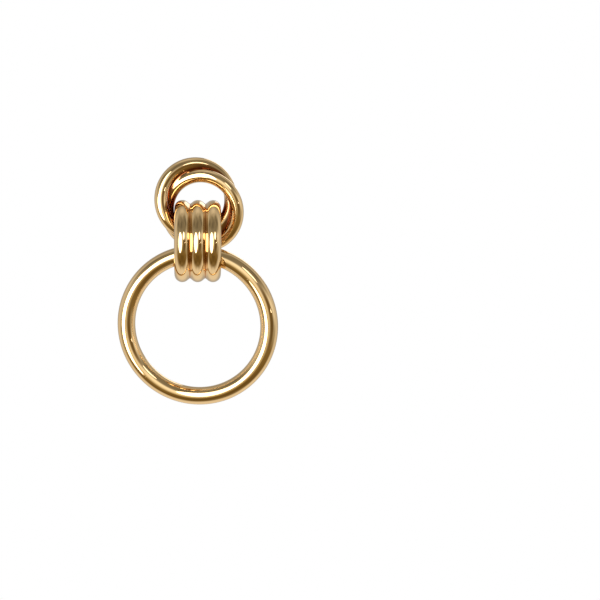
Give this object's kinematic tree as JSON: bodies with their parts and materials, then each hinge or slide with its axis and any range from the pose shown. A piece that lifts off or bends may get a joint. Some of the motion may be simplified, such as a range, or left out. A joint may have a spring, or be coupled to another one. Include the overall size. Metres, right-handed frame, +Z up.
{
  "type": "doorknocker earring",
  "caption": "Doorknocker earring: a plain round tube hoop hangs in a bail of soldered wire loops under a knot of linked wire rings, with a straight ear post behind.",
  "frame": {"origin": "the root of the ear post, on the back of the knot's upper ring, where the earring sits on the ear", "axes": "+Z up as the earring hangs, +Y along the ear post from the front of the earring to its back, -Y to the viewer, +X to the viewer's right"},
  "size_m": [0.0317, 0.0231, 0.049],
  "materials": {
    "gold_plate": "mirror polished pale gold plating"
  },
  "bodies": {
    "knot": {"knot": "gold_plate", "ear_post": "gold_plate"},
    "bail": {"triple_bail": "gold_plate"},
    "hoop": {"hoop": "gold_plate"}
  },
  "joints": [
    {"name": "bail_swing", "type": "hinge", "parent": "knot", "child": "bail", "pos_m": [0.00049, -0.00409, -0.01494], "axis": [-1, 0, 0], "range_deg": [0, 90]},
    {"name": "hoop_swing", "type": "hinge", "parent": "bail", "child": "hoop", "pos_m": [0.00049, -0.00409, -0.01745], "axis": [-0.989, 0.1478, 0], "range_deg": [-45, 90]}
  ]
}
